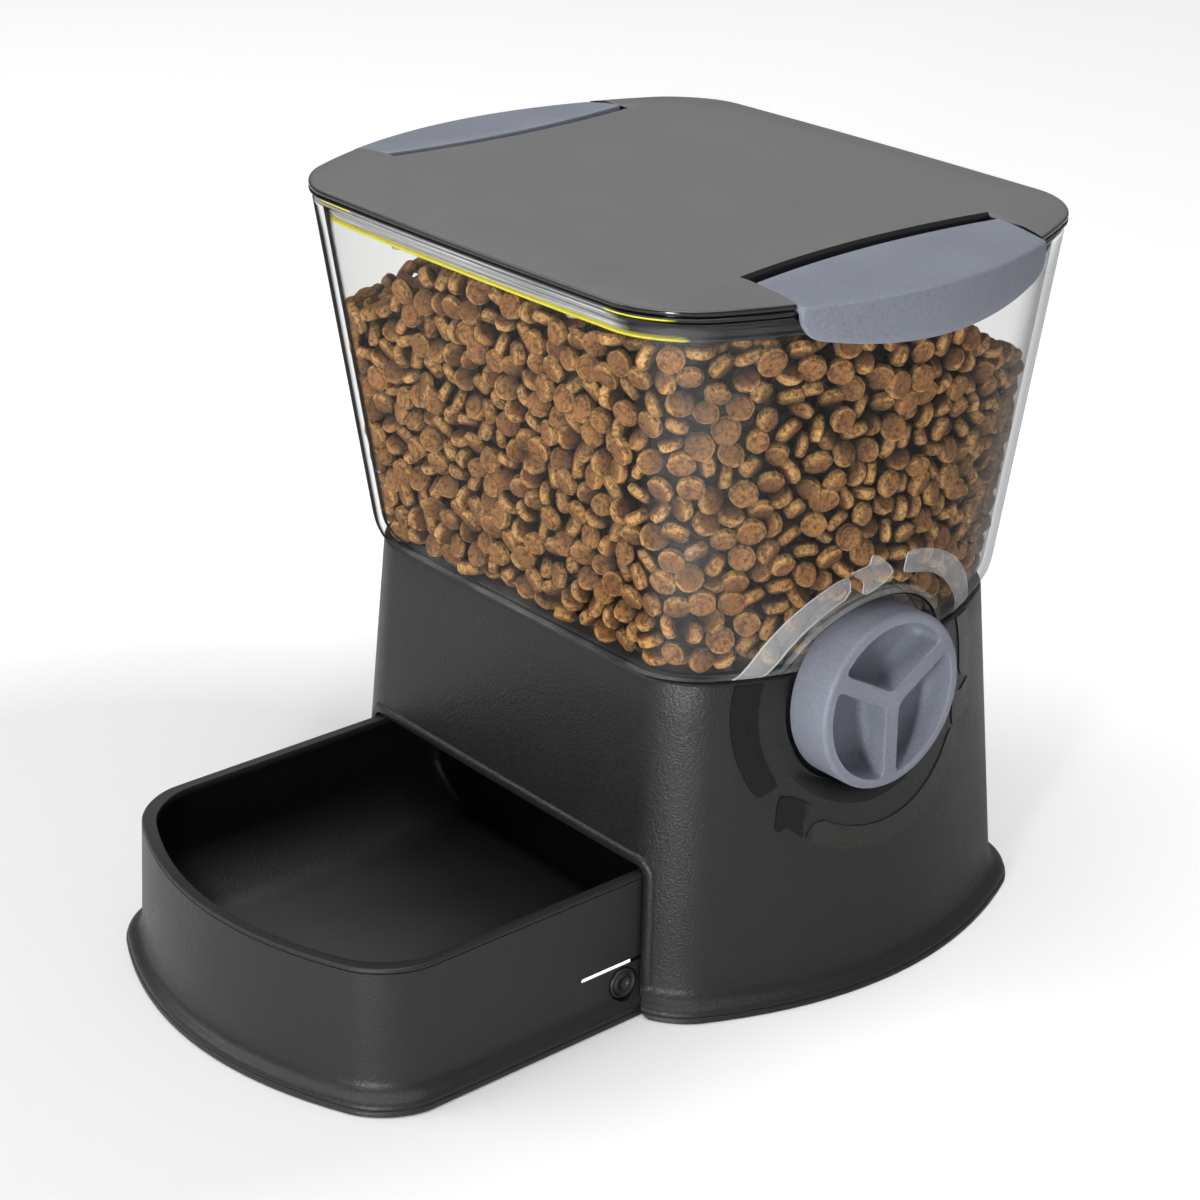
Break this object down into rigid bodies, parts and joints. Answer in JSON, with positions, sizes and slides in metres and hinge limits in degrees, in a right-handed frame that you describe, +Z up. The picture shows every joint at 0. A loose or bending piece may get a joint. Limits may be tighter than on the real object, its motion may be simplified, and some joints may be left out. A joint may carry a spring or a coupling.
{
  "type": "manual pet feeder",
  "caption": "Dry-food feeder: clear hopper with latched lid on a tower, a hand-turned portion wheel and a pull-out bowl.",
  "frame": {"origin": "centre of the footprint, on the surface the feeder stands on", "axes": "+Z up, -Y towards the bowl, +X towards the knob"},
  "size_m": [0.2838, 0.3449, 0.285],
  "materials": {
    "black_plastic": "fine moulded grain, satin highlights",
    "clear_plastic": "clear and polished",
    "grey_plastic": "fine matt grain, blue-grey",
    "dark_plastic": "satin dark grey with glossy black edges",
    "yellow_seal": "soft matt yellow",
    "black_rubber": "matt",
    "natural_plastic": "uncoloured moulded plastic",
    "steel": "bright zinc plated"
  },
  "bodies": {
    "base": {"base_shell": "black_plastic", "food_chute": "black_plastic", "chute_screw_1": "steel", "chute_screw_2": "steel", "chute_screw_3": "steel", "chute_screw_4": "steel", "base_foot_1": "black_rubber", "base_foot_2": "black_rubber", "base_foot_3": "black_rubber", "base_foot_4": "black_rubber"},
    "hopper": {"hopper_shell": "clear_plastic", "drum_housing": "black_plastic", "shaft_bush_right": "natural_plastic", "shaft_bush_left": "natural_plastic", "housing_screw_1": "steel", "housing_screw_2": "steel", "housing_screw_3": "steel", "housing_screw_4": "steel"},
    "wheel": {"portion_wheel": "natural_plastic", "wheel_shaft": "steel", "dispensing_knob": "grey_plastic", "shaft_clip": "steel"},
    "lid": {"lid_cover": "dark_plastic", "lid_frame": "black_plastic", "lid_seal": "yellow_seal", "lid_screw_1": "steel", "lid_screw_2": "steel", "lid_screw_3": "steel", "lid_screw_4": "steel", "latch_pin_right": "steel", "latch_pin_left": "steel"},
    "latch_right_flap": {"latch_right": "grey_plastic"},
    "latch_left_flap": {"latch_left": "grey_plastic"},
    "bowl_tray": {"bowl": "black_plastic", "bowl_foot_1": "black_rubber", "bowl_foot_2": "black_rubber", "bowl_foot_3": "black_rubber", "bowl_foot_4": "black_rubber"},
    "catch_right_button": {"bowl_catch_right": "black_plastic"},
    "catch_left_button": {"bowl_catch_left": "black_plastic"}
  },
  "joints": [
    {"name": "hopper_lift", "type": "slide", "parent": "base", "child": "hopper", "axis": [0, 0, 1], "range_m": [0, 0.12]},
    {"name": "wheel_turn", "type": "hinge", "parent": "hopper", "child": "wheel", "pos_m": [0, 0.05575, 0.1194], "axis": [1, 0, 0], "continuous": true},
    {"name": "lid_lift", "type": "slide", "parent": "hopper", "child": "lid", "axis": [0, 0, 1], "range_m": [0, 0.06]},
    {"name": "latch_right_flip", "type": "hinge", "parent": "lid", "child": "latch_right_flap", "pos_m": [0.1076, 0.06525, 0.279], "axis": [0, -1, 0], "range_deg": [0, 75]},
    {"name": "latch_left_flip", "type": "hinge", "parent": "lid", "child": "latch_left_flap", "pos_m": [-0.1076, 0.06525, 0.279], "axis": [0, 1, 0], "range_deg": [0, 75]},
    {"name": "bowl_slide", "type": "slide", "parent": "base", "child": "bowl_tray", "axis": [0, -1, 0], "range_m": [0, 0.12]},
    {"name": "catch_right_press", "type": "hinge", "parent": "bowl_tray", "child": "catch_right_button", "pos_m": [0.0849, -0.05575, 0.0126], "axis": [0, 0, 1], "range_deg": [0, 4], "stiffness_Nm_per_rad": 0.8},
    {"name": "catch_left_press", "type": "hinge", "parent": "bowl_tray", "child": "catch_left_button", "pos_m": [-0.0849, -0.05575, 0.0126], "axis": [0, 0, -1], "range_deg": [0, 4], "stiffness_Nm_per_rad": 0.8}
  ]
}
